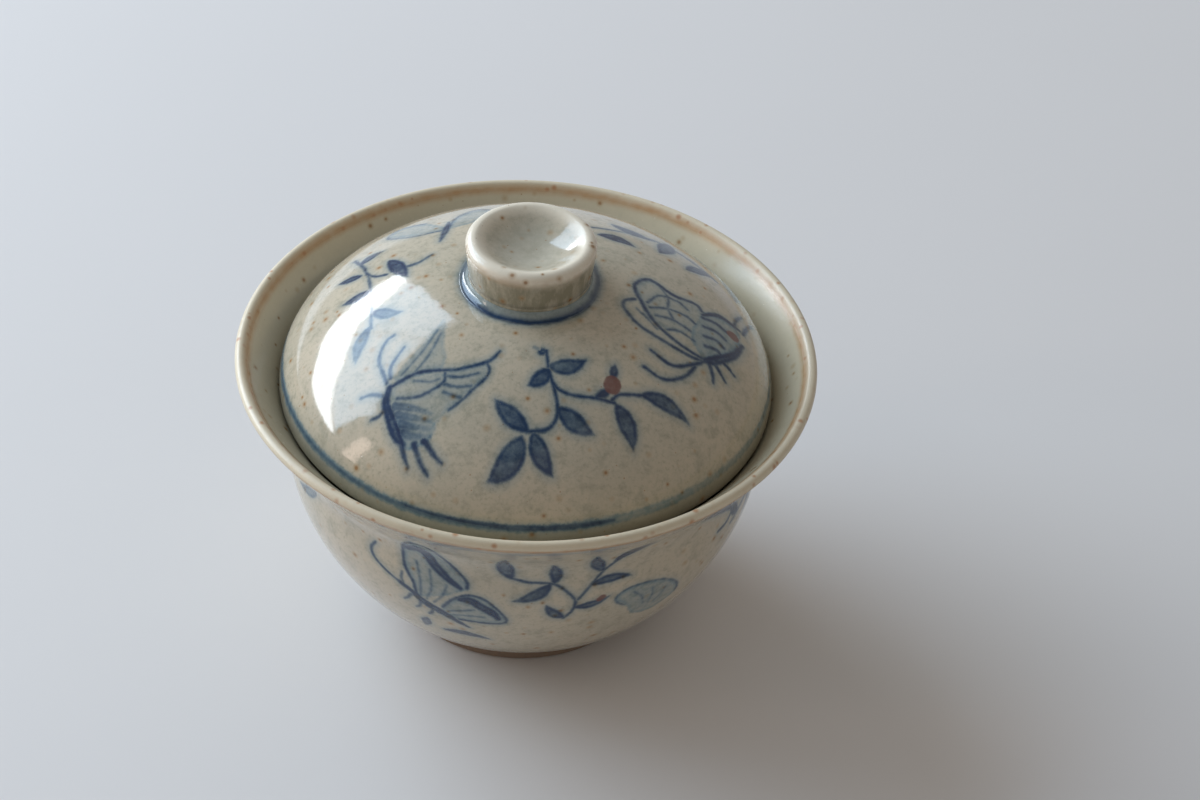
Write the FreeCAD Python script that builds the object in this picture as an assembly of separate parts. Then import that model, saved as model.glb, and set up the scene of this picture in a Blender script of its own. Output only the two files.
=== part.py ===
"""A small lidded tea bowl (gaiwan) in glazed stoneware.

Every piece is a body of revolution about Z, in millimetres, and the bowl stands on the
plane Z = 0. The thrown wall and its foot ring are the bowl. The dome, the knob and the fillet
of slip that binds them are the lid, whose rounded edge rests in the flare below the lip.
"""
import FreeCAD, Part
import math
import os

# ---- bowl ----------------------------------------------------------------------------------
waist_radius = 39.4           # outside, where the wall stands upright
belly_height = 29.7           # from the top of the foot ring up to that place
flare_height = 16.0           # from there up to the top of the lip
lip_overhang = 8.1            # how far the lip stands out past the waist
lip_lean = 36.0               # degrees from upright at which the flare ends
belly_wall = 3.4              # wall where the belly starts at the foot
waist_wall = 2.4
lip_wall = 1.8                # also the width of the rounded lip
floor_wall = 3.8              # clay under the middle of the bowl's floor
floor_dish = 0.8              # how much lower the middle of the floor is than its edge

# how far each curve of the outside runs on before it bends away
belly_out_pull = 7.1
belly_up_pull = 2.3
belly_waist_pull = 12.6
flare_waist_pull = 6.0
flare_lip_pull = 6.0

# ---- foot ring -----------------------------------------------------------------------------
foot_radius = 21.5            # outside, at the table
foot_taper = 0.5              # how much wider it is at its top
foot_width = 2.6              # width of the ring at the table
foot_height = 3.8
foot_round = 0.5              # eased edges at the table

# ---- lid -----------------------------------------------------------------------------------
seat_depth = 6.1              # from the top of the lip down to the lid's widest line
seat_gap = 0.25               # between the lid's rounded edge and the flare it rests in
lid_edge_wall = 2.4           # thickness at the edge, which is fully rounded
lid_crown_wall = 3.0          # thickness under the knob
lid_rise = 20.5               # from the widest line up to the flat that takes the knob
lid_side_pull = 11.0          # how far the dome's outside climbs before it turns in
lid_crown_pull = 7.2          # how far it stays level before it falls from the knob

# ---- knob ----------------------------------------------------------------------------------
knob_height = 8.4
knob_neck = 9.8               # radius at its foot
knob_flare = 0.7              # how much wider its rim is
knob_rim_width = 1.4          # from the widest part in to the top line of the rim
knob_rim_drop = 1.3           # from the top line down to the widest part
knob_rim_pull = 0.75          # fullness of the rim's outer round
dish_depth = 2.9              # hollow in the knob's top
dish_rim_pull = 1.1           # how far the rim stays level before it falls into the dish
dish_floor_pull = 5.6         # how far the middle of the dish stays level
turned_line_height = 1.8      # a line cut round the neck
turned_line_width = 0.5
turned_line_depth = 0.15

# ---- fillet of slip smoothed into the angle between knob and dome --------------------------
fillet_width = 1.6
fillet_height = 1.3
fillet_edge = 0.15            # thickness left at both of its edges

# ---- for the working out -------------------------------------------------------------------
quarter_round = 0.5523        # pull of each end of a curve that is a quarter of an ellipse
seat_found_to = 1e-6


def at(r, z):
    """A point of a profile, at radius r and height z."""
    return FreeCAD.Vector(r, 0, z)


def line(start, end):
    return Part.LineSegment(start, end).toShape()


def arc(start, middle, end):
    return Part.Arc(start, middle, end).toShape()


def bend(*poles):
    """A Bezier curve over the given poles."""
    curve = Part.BezierCurve()
    curve.setPoles(list(poles))
    return curve


def left_of(curve, share):
    """The point at a share of a Bezier curve and the unit normal to its left."""
    along = curve.tangent(share)[0]
    return curve.value(share), FreeCAD.Vector(-along.z, 0, along.x)


def wall_line(curve, start_wall, end_wall, spans=8):
    """The other face of a wall: a smooth curve to the left of curve, a wall away from it."""
    points = []
    for i in range(spans + 1):
        share = i / spans
        here, left = left_of(curve, share)
        points.append(here + left * (start_wall + (end_wall - start_wall) * share))
    face = Part.BSplineCurve()
    face.interpolate(points, InitialTangent=curve.tangent(0)[0], FinalTangent=curve.tangent(1)[0])
    return face


def revolve(*edges):
    """The solid swept about Z by a closed profile whose edges are given in order."""
    face = Part.Face(Part.Wire(list(edges)))
    return face.revolve(FreeCAD.Vector(0, 0, 0), FreeCAD.Vector(0, 0, 1), 360)


# ---- lines that more than one piece is fitted to --------------------------------------------
foot_top = foot_radius + foot_taper
waist_z = foot_height + belly_height
bowl_top = waist_z + flare_height
crown_z = bowl_top - seat_depth + lid_rise


def bowl_outside():
    """The belly from foot to waist, and the flare from waist to lip."""
    waist = at(waist_radius, waist_z)
    belly = bend(
        at(foot_top, foot_height),
        at(foot_top + belly_out_pull, foot_height + belly_up_pull),
        waist - at(0, belly_waist_pull),
        waist,
    )
    lean = math.radians(lip_lean)
    along = at(math.sin(lean), math.cos(lean))
    across = at(math.cos(lean), -math.sin(lean))
    lip_round = lip_wall / 2
    middle = at(waist_radius + lip_overhang - lip_round, bowl_top - lip_round)
    end = middle + across * lip_round
    flare = bend(waist, waist + at(0, flare_waist_pull), end - along * flare_lip_pull, end)
    return belly, flare


def radius_at(curve, height):
    """Radius at which a profile curve passes a height."""
    level = Part.LineSegment(at(0, height), at(waist_radius + lip_overhang, height))
    return curve.intersectCC(level)[0].X


def lid_edge_middle(flare_inside):
    """Middle of the lid's rounded edge, at seat depth and a seat gap clear of the flare."""
    height = bowl_top - seat_depth
    wall = flare_inside.toShape()
    clear, blocked = 0.0, radius_at(flare_inside, height)
    while blocked - clear > seat_found_to:
        middle = (clear + blocked) / 2
        gap = wall.distToShape(Part.Vertex(at(middle, height)))[0]
        if gap > lid_edge_wall / 2 + seat_gap:
            clear = middle
        else:
            blocked = middle
    return at(clear, height)


# ---- the pieces ----------------------------------------------------------------------------
def bowl_body(belly, flare, belly_inside, flare_inside):
    """The thrown wall, open at the top, with a rounded lip and a shallow dished floor."""
    lip_start, lip_left = left_of(flare, 1)
    lip_top = lip_start + (lip_left + flare.tangent(1)[0]) * (lip_wall / 2)
    lip_end = lip_start + lip_left * lip_wall
    floor_middle = at(0, foot_height + floor_wall)
    floor_edge_z = floor_middle.z + floor_dish
    floor_edge = at(radius_at(belly_inside, floor_edge_z), floor_edge_z)
    wall = belly_inside.copy()
    wall.segment(wall.parameter(floor_edge), wall.LastParameter)
    # the floor is level in the middle and runs into the wall along the wall's own slope
    slope = wall.tangent(wall.FirstParameter)[0]
    floor = bend(floor_middle, floor_edge - slope * (floor_dish / slope.z), floor_edge)
    base_middle = at(0, foot_height)
    return revolve(
        line(base_middle, at(foot_top, foot_height)),
        belly.toShape(),
        flare.toShape(),
        arc(lip_start, lip_top, lip_end),
        flare_inside.toShape(),
        wall.toShape(),
        floor.toShape(),
        line(floor_middle, base_middle),
    )


def bowl_foot_ring():
    """The turned ring under the bowl, with eased edges where it meets the table."""
    inner = foot_radius - foot_width
    corners = [at(inner, 0), at(foot_radius, 0), at(foot_top, foot_height), at(inner, foot_height)]
    ring = revolve(*[line(corners[i - 1], corners[i]) for i in range(len(corners))])
    at_table = [edge for edge in ring.Edges if edge.BoundBox.ZMax < foot_round]
    return ring.makeFillet(foot_round, at_table).Solids[0]


def lid_dome(edge_middle):
    """The hollow dome, from its rounded edge up to the flat that takes knob and fillet."""
    half = lid_edge_wall / 2
    widest = edge_middle + at(half, 0)
    crown_edge = at(knob_neck + fillet_width, crown_z)
    outside = bend(
        widest,
        widest + at(0, lid_side_pull),
        crown_edge + at(lid_crown_pull, 0),
        crown_edge,
    )
    inside = wall_line(outside, lid_edge_wall, lid_crown_wall)
    crown_under = crown_edge - at(0, lid_crown_wall)
    return revolve(
        outside.toShape(),
        line(crown_edge, at(0, crown_z)),
        line(at(0, crown_z), at(0, crown_under.z)),
        line(at(0, crown_under.z), crown_under),
        inside.toShape(),
        arc(edge_middle - at(half, 0), edge_middle - at(0, half), widest),
    )


def neck_side():
    """The foot of the knob's side, and its slope per millimetre of height."""
    return at(knob_neck, crown_z), at(knob_flare / (knob_height - knob_rim_drop), 1)


def lid_knob():
    """A turned button with a rounded rim, a dished top and one line cut round its neck."""
    neck, slope = neck_side()
    top = crown_z + knob_height
    widest = neck + slope * (knob_height - knob_rim_drop)
    cut_low = neck + slope * (turned_line_height - turned_line_width / 2)
    cut_high = neck + slope * (turned_line_height + turned_line_width / 2)
    cut_middle = (cut_low + cut_high) * 0.5 - at(turned_line_depth, 0)
    rim_top = at(widest.x - knob_rim_width, top)
    dish_low = at(0, top - dish_depth)
    rim = bend(widest, widest + slope * knob_rim_pull, rim_top + at(knob_rim_pull, 0), rim_top)
    dish = bend(rim_top, rim_top - at(dish_rim_pull, 0), dish_low + at(dish_floor_pull, 0), dish_low)
    return revolve(
        line(at(0, crown_z), neck),
        line(neck, cut_low),
        arc(cut_low, cut_middle, cut_high),
        line(cut_high, widest),
        rim.toShape(),
        dish.toShape(),
        line(dish_low, at(0, crown_z)),
    )


def knob_fillet():
    """The slip round the knob's foot, hollow in section, from the dome up to the neck."""
    neck, slope = neck_side()
    high = neck + slope * fillet_height
    high_edge = high + at(fillet_edge, 0)
    outer = neck + at(fillet_width, 0)
    outer_edge = outer + at(0, fillet_edge)
    hollow = bend(
        outer_edge,
        outer_edge - at((outer_edge.x - high_edge.x) * quarter_round, 0),
        high_edge - at(0, (high_edge.z - outer_edge.z) * quarter_round),
        high_edge,
    )
    return revolve(
        line(neck, outer),
        line(outer, outer_edge),
        hollow.toShape(),
        line(high_edge, high),
        line(high, neck),
    )


def build():
    belly, flare = bowl_outside()
    belly_inside = wall_line(belly, belly_wall, waist_wall)
    flare_inside = wall_line(flare, waist_wall, lip_wall)
    return {
        "bowl_body": bowl_body(belly, flare, belly_inside, flare_inside),
        "bowl_foot_ring": bowl_foot_ring(),
        "lid_dome": lid_dome(lid_edge_middle(flare_inside)),
        "lid_knob": lid_knob(),
        "knob_fillet": knob_fillet(),
    }


os.makedirs("parts", exist_ok=True)
for name, shape in build().items():
    shape.exportStep(f"parts/{name}.step")
    box = shape.optimalBoundingBox()
    print(f"{name:15s}{shape.Volume:10.1f} mm3  radius {box.XMax:.2f}  z {box.ZMin:.2f} to {box.ZMax:.2f}")
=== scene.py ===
"""A small lidded tea bowl in speckled stoneware glaze, painted with insects and leafy sprigs in blue.

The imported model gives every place: the clay bodies are spun here around the same axis, to the same
walls, and then get their brushwork and glaze. Lengths are metres. Brushwork is laid out in
millimetres on the surface it is painted on.
"""
import math

import bpy
import numpy as np
from bpy.props import FloatProperty, FloatVectorProperty, PointerProperty
from bpy.types import Operator, Panel, PropertyGroup
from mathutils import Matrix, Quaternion, Vector


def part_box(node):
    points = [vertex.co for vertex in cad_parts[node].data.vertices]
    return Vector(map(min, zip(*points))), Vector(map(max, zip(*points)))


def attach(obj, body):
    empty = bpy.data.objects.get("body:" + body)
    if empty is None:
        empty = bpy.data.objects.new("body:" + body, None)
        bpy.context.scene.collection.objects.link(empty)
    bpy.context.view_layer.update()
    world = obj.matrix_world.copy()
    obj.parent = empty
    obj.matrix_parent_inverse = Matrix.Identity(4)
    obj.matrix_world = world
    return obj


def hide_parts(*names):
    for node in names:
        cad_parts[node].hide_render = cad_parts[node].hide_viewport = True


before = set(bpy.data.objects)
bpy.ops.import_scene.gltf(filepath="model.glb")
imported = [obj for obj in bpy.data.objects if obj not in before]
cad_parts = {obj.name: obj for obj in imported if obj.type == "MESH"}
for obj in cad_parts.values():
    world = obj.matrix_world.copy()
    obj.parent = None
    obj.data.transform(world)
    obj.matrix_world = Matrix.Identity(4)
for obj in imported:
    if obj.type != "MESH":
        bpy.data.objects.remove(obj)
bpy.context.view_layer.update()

bl_info = {
    "name": "Painted Lidded Tea Bowl",
    "version": (1, 0, 0),
    "blender": (4, 5, 0),
    "location": "View3D > Sidebar > Tea Bowl",
    "description": "Builds a glazed bowl with a foot ring, a domed lid and a dished knob",
    "category": "Add Mesh",
}

mm = 0.001

# how far each curve of the outlines runs on before it bends away, and their other fixed measures
BELLY_OUT, BELLY_UP, BELLY_WAIST = 7.1 * mm, 2.3 * mm, 12.6 * mm
FLARE_WAIST, FLARE_LIP = 6 * mm, 6 * mm
LIP_LEAN = math.radians(36)   # from upright, where the flare ends
FOOT_TAPER = 0.5 * mm
LID_SIDE, LID_CROWN = 11 * mm, 7.2 * mm
RIM_DROP, RIM_OUT = 1.3 * mm, 0.75 * mm
DISH_RIM, DISH_FLOOR = 1.1 * mm, 5.6 * mm
LINE_HEIGHT, LINE_WIDTH, LINE_DEPTH = 1.8 * mm, 0.5 * mm, 0.06 * mm
NECK_LEAN = 0.7 / 7.1         # how much wider the knob gets with its height
FILLET_EDGE = 0.03 * mm
QUARTER_ROUND = 0.5523        # pull of each end of a curve that is a quarter of an ellipse
PAINTED_STEP = 0.62 * mm      # between the rows of a painted outside


# ---- sizes and colours that a user would change --------------------------------------------
def size(name, description, default):
    return FloatProperty(
        name=name, description=description, default=default * mm, min=0, unit="LENGTH"
    )


def share(name, description, default):
    return FloatProperty(
        name=name, description=description, default=default, min=0, max=1, subtype="FACTOR"
    )


def colour(name, description, default):
    return FloatVectorProperty(
        name=name, description=description, default=default, min=0, max=1, subtype="COLOR"
    )


class BowlSizes(PropertyGroup):
    waist_radius: size("Waist radius", "Outside, where the wall stands upright", 39.4)
    waist_height: size("Waist height", "Of that place above the table", 33.5)
    belly_wall: size("Wall at the foot", "Thickness where the belly starts", 3.4)
    waist_wall: size("Wall at the waist", "Thickness where the wall stands upright", 2.4)
    lip_wall: size("Wall at the lip", "Thickness of the rounded lip", 1.8)
    floor: size("Floor", "Thickness under the middle of the floor", 3.8)
    floor_dish: size("Floor dish", "How much lower the middle is than the edge", 0.8)
    foot_width: size("Foot width", "Width of the ring that the bowl stands on", 2.6)
    foot_round: size("Foot edges", "Rounding of the ring where it meets the table", 0.5)


class LidSizes(PropertyGroup):
    edge_wall: size("Wall at the edge", "Thickness of the lid's rounded edge", 2.4)
    crown_wall: size("Wall at the crown", "Thickness under the knob", 3.0)
    neck_radius: size("Knob neck", "Radius of the knob where it stands on the lid", 9.8)
    rim_width: size("Knob rim", "From the widest part in to the top line", 1.4)
    dish_depth: size("Knob dish", "Depth of the hollow in the knob's top", 2.9)


class GlazeLook(PropertyGroup):
    body: colour("Glaze", "Where the glaze lies even", (0.47, 0.42, 0.325))
    thin: colour("Thin glaze", "Where the glaze has run thin over an edge", (0.56, 0.48, 0.36))
    # deep is also laid low on the bowl's outside as painted shade, besides where the glaze has pooled
    deep: colour("Deep glaze", "Where the glaze has pooled", (0.29, 0.28, 0.21))
    rust: colour("Rust", "Iron that has bled out of the clay", (0.27, 0.13, 0.045))
    iron: colour("Iron", "Dark middle of an iron spot", (0.07, 0.035, 0.02))
    cobalt: colour("Cobalt", "Stain of the blue where the brush was full", (0.05, 0.135, 0.33))
    watery: colour("Thin cobalt", "Stain of the blue where the brush was watery", (0.44, 0.64, 0.85))
    clay: colour("Clay", "Unglazed clay of the foot", (0.15, 0.115, 0.09))
    gloss: share("Roughness", "Of the glaze where it is clean", 0.07)


class StageLook(PropertyGroup):
    floor: colour("Floor", "Colour of the floor", (0.71, 0.69, 0.68))
    lens: FloatProperty(name="Lens", description="Focal length", default=100, unit="CAMERA")
    window_light: FloatProperty(name="Window", description="Brightness of the panes", default=6.5, min=0)
    room_light: FloatProperty(name="Room", description="Brightness of the room", default=0.41, min=0)


# ---- outlines ------------------------------------------------------------------------------
def bend(start, pull, push, end, rows):
    """Rows of radius and height along a curve from start to end, and its direction at each."""
    a, b, c, d = (np.array(pole, float) for pole in (start, pull, push, end))
    t = np.linspace(0, 1, rows + 1)[:, None]
    points = a * (1 - t) ** 3 + 3 * b * t * (1 - t) ** 2 + 3 * c * t**2 * (1 - t) + d * t**3
    way = (b - a) * (1 - t) ** 2 + 2 * (c - b) * t * (1 - t) + (d - c) * t**2
    return points, way / np.linalg.norm(way, axis=1)[:, None]


def other_face(points, way, start_wall, end_wall):
    """The far side of a wall whose thickness changes evenly from one end to the other."""
    left = np.column_stack([-way[:, 1], way[:, 0]])
    return points + left * np.linspace(start_wall, end_wall, len(points))[:, None]


def round_end(start, end, rows):
    """A half circle from start round to end, bulging to the right of the way across."""
    start, end = np.array(start), np.array(end)
    middle, arm = (start + end) / 2, (start - end) / 2
    turned = np.array([arm[1], -arm[0]])
    angle = np.linspace(0, math.pi, rows + 1)[:, None]
    return middle + arm * np.cos(angle) - turned * np.sin(angle)


def spaced(points, step):
    """The same line with its rows an even step apart."""
    run = np.concatenate([[0], np.cumsum(np.linalg.norm(np.diff(points, axis=0), axis=1))])
    at = np.linspace(0, run[-1], max(2, round(run[-1] / step) + 1))
    return np.column_stack([np.interp(at, run, points[:, 0]), np.interp(at, run, points[:, 1])])


def joined(*lines):
    """Lines end to end, without the point that each two share."""
    return np.vstack([lines[0], *[line[1:] for line in lines[1:]]])


def run_of(outline, start):
    """How far along the outline each row is past the row numbered start, in millimetres."""
    run = np.concatenate([[0], np.cumsum(np.linalg.norm(np.diff(outline, axis=0), axis=1))])
    return (run - run[start]) / mm


# ---- spinning a piece ----------------------------------------------------------------------
DRAWN_IN = 0.0001             # share of the radius


def lathe(name, outline, along, turns):
    """Spins an outline about Z. Each row keeps its place along the outline as an attribute."""
    bpy.ops.object.select_all(action="DESELECT")
    bpy.ops.mesh.primitive_plane_add(size=mm)
    piece = bpy.context.object
    piece.name = piece.data.name = name
    bpy.ops.object.mode_set(mode="EDIT")
    bpy.ops.mesh.merge(type="CENTER")
    bpy.ops.transform.translate(value=(outline[0][0], 0, outline[0][1]))
    for step in np.diff(outline, axis=0):
        bpy.ops.mesh.extrude_region_move(TRANSFORM_OT_translate={"value": (step[0], 0, step[1])})
    bpy.ops.object.mode_set(mode="OBJECT")
    store(piece, "along", along)
    bpy.ops.object.mode_set(mode="EDIT")
    bpy.ops.mesh.select_all(action="SELECT")
    bpy.ops.mesh.spin(steps=turns, angle=2 * math.pi, center=(0, 0, 0), axis=(0, 0, 1))
    bpy.ops.mesh.select_all(action="SELECT")
    bpy.ops.mesh.remove_doubles(threshold=0.005 * mm)
    bpy.ops.mesh.normals_make_consistent(inside=False)
    bpy.ops.object.mode_set(mode="OBJECT")
    bpy.ops.object.shade_smooth()
    return piece


def store(piece, name, values):
    """Keeps one number for each vertex under a name that materials can read."""
    found = piece.data.attributes.get(name) or piece.data.attributes.new(name, "FLOAT", "POINT")
    found.data.foreach_set("value", np.asarray(values, np.float32))


def stored(piece, name):
    values = np.zeros(len(piece.data.vertices), np.float32)
    piece.data.attributes[name].data.foreach_get("value", values)
    return values


def places(piece):
    """The place of each vertex."""
    flat = np.zeros(len(piece.data.vertices) * 3, np.float32)
    piece.data.vertices.foreach_get("co", flat)
    return flat.reshape(-1, 3).astype(float)


def azimuth(place):
    """Turn of each place about Z, from the front towards the right."""
    return np.arctan2(place[:, 0], -place[:, 1])


def split_near(piece, chosen):
    """Cuts the faces that have a chosen vertex into four."""
    bpy.ops.object.select_all(action="DESELECT")
    piece.select_set(True)
    bpy.context.view_layer.objects.active = piece
    mesh = piece.data
    corner_vertex = np.zeros(len(mesh.loops), np.int32)
    mesh.loops.foreach_get("vertex_index", corner_vertex)
    starts = np.zeros(len(mesh.polygons), np.int32)
    mesh.polygons.foreach_get("loop_start", starts)
    selected = np.logical_or.reduceat(chosen[corner_vertex], starts)
    for part in (mesh.vertices, mesh.edges):
        part.foreach_set("select", np.zeros(len(part), bool))
    mesh.polygons.foreach_set("select", selected)
    bpy.ops.object.mode_set(mode="EDIT")
    bpy.ops.mesh.select_mode(type="FACE")
    bpy.ops.mesh.subdivide(number_cuts=1)
    bpy.ops.mesh.select_mode(type="VERT")
    bpy.ops.object.mode_set(mode="OBJECT")


def hand_thrown(piece, lobes, unevenness):
    """Draws the wall in a little, here more and there less, as a hand-thrown piece has it.

    A very small share is drawn in everywhere, so that the round outline stays inside the frame's,
    whose outline has flats.
    """
    place = places(piece)
    turn = azimuth(place)
    sway = sum(np.cos(count * turn + count * count) for count in lobes) / len(lobes)
    rise = 0.5 + 0.5 * np.sin(place[:, 2] / (9 * mm) + turn)
    place[:, :2] *= (1 - DRAWN_IN - unevenness * (0.5 - 0.5 * sway) * rise)[:, None]
    place[:, 2] = np.maximum(place[:, 2], 0)
    piece.data.vertices.foreach_set("co", place.astype(np.float32).ravel())
    piece.data.update()


def unwrap(piece):
    """A map with the turn across it and the way along the outline up it, open at the back."""
    mesh = piece.data
    corner_vertex = np.zeros(len(mesh.loops), np.int32)
    mesh.loops.foreach_get("vertex_index", corner_vertex)
    place = places(piece)
    across = (azimuth(place) / (2 * math.pi) + 0.5)[corner_vertex]
    starts = np.zeros(len(mesh.polygons), np.int32)
    mesh.polygons.foreach_get("loop_start", starts)
    sizes = np.diff(np.append(starts, len(across)))
    face_top = np.repeat(np.maximum.reduceat(across, starts), sizes)
    across = np.where(face_top - across > 0.5, across + 1, across) / (1 + 1 / 300)
    on_axis = np.hypot(place[:, 0], place[:, 1])[corner_vertex] < 0.01 * mm
    up = stored(piece, "along")[corner_vertex]
    up = (up - up.min()) / (up.max() - up.min())
    face_mean = np.repeat(np.add.reduceat(across * ~on_axis, starts), sizes)
    face_count = np.repeat(np.add.reduceat((~on_axis).astype(float), starts), sizes)
    across = np.where(on_axis, face_mean / np.maximum(face_count, 1), across)
    layer = mesh.uv_layers.new(name="OFBake")
    layer.data.foreach_set("uv", np.column_stack([across, up]).astype(np.float32).ravel())


# ---- brushwork -----------------------------------------------------------------------------
FAR = -4.0                    # depth of a place that no mark is near, in millimetres
NOWHERE = (0, -1000)          # stands for the place of a vertex that is not painted
SPLITS = 2                    # how often the faces at an edge of the brushwork are cut into four
SPLIT_BAND = 0.46             # how near to an edge the first cut reaches, in millimetres
BOWL_UNROLL = 38              # radius at which millimetres round the bowl are counted
LID_UNROLL = 40.4             # the same for the ring on the lid


def eased(rows, closed=False, between=6):
    """A smooth path through the rows, with a few more rows between each two."""
    if closed:
        ends = np.vstack([rows[-1:], rows, rows[:2]])
    else:
        ends = np.vstack([2 * rows[:1] - rows[1:2], rows, 2 * rows[-1:] - rows[-2:-1]])
    t = np.linspace(0, 1, between, endpoint=False)[:, None]
    path = []
    for a, b, c, d in zip(ends, ends[1:], ends[2:], ends[3:]):
        path.append(b + 0.5 * t * (c - a + t * (2 * a - 5 * b + 4 * c - d + t * (3 * b - a - 3 * c + d))))
    return np.vstack([*path, ends[-2:-1]])


def stroke(points, width, load=1.0, kind="ink"):
    """A line of the brush. width and load are one number, or one for each point."""
    rows = np.array(points, float)
    half = np.broadcast_to(np.array(width, float) / 2, len(rows))
    loads = np.interp(np.linspace(0, 1, len(rows)), np.linspace(0, 1, np.size(load)), np.ravel(load))
    return kind, False, eased(np.column_stack([rows, half, loads]))


def strokes(lines, width, load=1.0):
    """Several lines drawn alike."""
    return [stroke(points, width, load) for points in lines]


def leaf(base, tip, width, bow=0.0, load=(1.0, 0.75)):
    """One pressed touch of the brush, fullest a little before its middle."""
    base, tip = np.array(base, float), np.array(tip, float)
    way = tip - base
    side = np.array([-way[1], way[0]]) * bow
    shares = np.array([0, 0.18, 0.45, 0.75, 1])
    spine = base + way * shares[:, None] + side * (4 * shares * (1 - shares))[:, None]
    return stroke(spine, width * np.array([0.12, 0.66, 1, 0.62, 0.05]), load)


def shape(points, load=0.5, kind="wash"):
    """An area filled with the brush, inside a smooth outline."""
    path = eased(np.array(points, float), closed=True)
    return kind, True, np.column_stack([path, np.zeros(len(path)), np.full(len(path), load)])


def moved(marks, at=(0, 0), turn=0.0, scale=1.0, mirrored=False):
    """Marks made larger, turned about their own origin in degrees and set down at a place."""
    angle = math.radians(turn)
    wheel = np.array([[math.cos(angle), math.sin(angle)], [-math.sin(angle), math.cos(angle)]])
    made = []
    for kind, filled, path in marks:
        new = path.copy()
        new[:, 0] *= -1 if mirrored else 1
        new[:, :2] = new[:, :2] @ wheel * scale + np.array(at)
        new[:, 2] *= scale
        made.append((kind, filled, new))
    return made


def depth_in(mark, where):
    """How deep each place is inside a mark, below zero outside it, and the mark's load there."""
    kind, filled, path = mark
    a, b = path[None, :-1], path[None, 1:]
    way = b[..., :2] - a[..., :2]
    reach = where[:, None] - a[..., :2]
    t = np.clip((reach * way).sum(-1) / np.maximum((way * way).sum(-1), 1e-9), 0, 1)
    gap = np.linalg.norm(reach - way * t[..., None], axis=-1)
    depth = a[..., 2] + (b[..., 2] - a[..., 2]) * t - gap
    best = depth.argmax(axis=1)
    row = np.arange(len(where))
    load = (a[..., 3] + (b[..., 3] - a[..., 3]) * t)[row, best]
    depth = depth[row, best]
    if filled:
        y = where[:, 1:2]
        crossed = (a[..., 1] > y) != (b[..., 1] > y)
        rise = np.where(way[..., 1] == 0, 1, way[..., 1])
        at_x = a[..., 0] + (y - a[..., 1]) / rise * way[..., 0]
        inside = (crossed & (where[:, :1] < at_x)).sum(axis=1) % 2 == 1
        depth = np.where(inside, -depth, depth)
    return depth, load


def painted_depths(canvases):
    """For every vertex, how deep it is in ink, wash and iron, and how loaded the brush was."""
    fields = {}
    for where, marks in canvases:
        for kind in ("ink", "wash", "iron"):
            fields.setdefault(kind, np.full(len(where), FAR))
            fields.setdefault(kind + "_load", np.zeros(len(where)))
        for mark in marks:
            kind, path = mark[0], mark[2]
            margin = path[:, 2].max() - FAR
            low, high = path[:, :2].min(0) - margin, path[:, :2].max(0) + margin
            near = np.flatnonzero(((where > low) & (where < high)).all(axis=1))
            if len(near) == 0:
                continue
            depth, load = depth_in(mark, where[near])
            deeper = depth > fields[kind][near]
            fields[kind][near[deeper]] = depth[deeper]
            fields[kind + "_load"][near[deeper]] = load[deeper]
    return fields


def paint(piece, canvases_of):
    """Splits the faces along the edges of the brushwork, then stores how deep each vertex is."""
    band = SPLIT_BAND
    for _ in range(SPLITS):
        fields = painted_depths(canvases_of(piece))
        edge = np.minimum(abs(fields["ink"]), abs(fields["iron"]))
        split_near(piece, edge < band)
        band /= 2
    fields = painted_depths(canvases_of(piece))
    for name, values in fields.items():
        store(piece, name, values)


# ---- motifs, each in millimetres -------------------------------------------------------------
def fruiting_sprig():
    """A curving twig with plump leaves, a bud and one berry."""
    twig = stroke(
        [(3.7, -20.6), (4.3, -22.5), (4.9, -24.5), (5.1, -26.5), (4.7, -28), (3.3, -29.2), (0.4, -29.6)],
        0.55,
    )
    return [
        twig,
        stroke([(3, -16.6), (3.2, -18), (3.4, -19.4)], 0.5),
        stroke([(2.3, -16.9), (2.5, -16.8)], 1.2),
        stroke([(2.2, -16.7), (1.2, -16.2)], 0.6, 0.4),
        leaf((3.4, -19.2), (9.3, -17.4), 2.7, -0.12, (0.7, 1.0)),
        leaf((3.5, -19.8), (0.3, -22.7), 2.5, 0.1),
        stroke([(4.2, -22), (5.2, -23), (7.5, -23.6), (11, -23.4), (14, -23.5)], 0.5),
        stroke([(13.5, -23.2), (14.5, -22.1), (16, -21.6), (18.3, -21)], 0.5),
        stroke([(13.5, -20.9), (13.6, -20.5)], 2.7, 1.0, "iron"),
        leaf((13.6, -19.6), (13.9, -17), 1.3, 0, (1.0, 0.9)),
        stroke([(11, -23.3), (12.2, -22.4), (12.9, -21.9)], [0.5, 1.3, 0.6]),
        leaf((18.2, -21), (25.9, -22.4), 2.6, 0.1),
        leaf((14.2, -23.7), (17.1, -29.4), 2.9, 0.08),
        leaf((5.2, -25.9), (10.8, -28.8), 3.1, -0.05),
        leaf((0.7, -29.4), (-4.7, -24.9), 2.9, 0.05),
        leaf((-0.3, -30.4), (-5.3, -35.8), 3.8, 0.12, (0.8, 0.9)),
        leaf((1.5, -29.7), (4.7, -35), 3.0, -0.08, (0.8, 0.95)),
    ]


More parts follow.
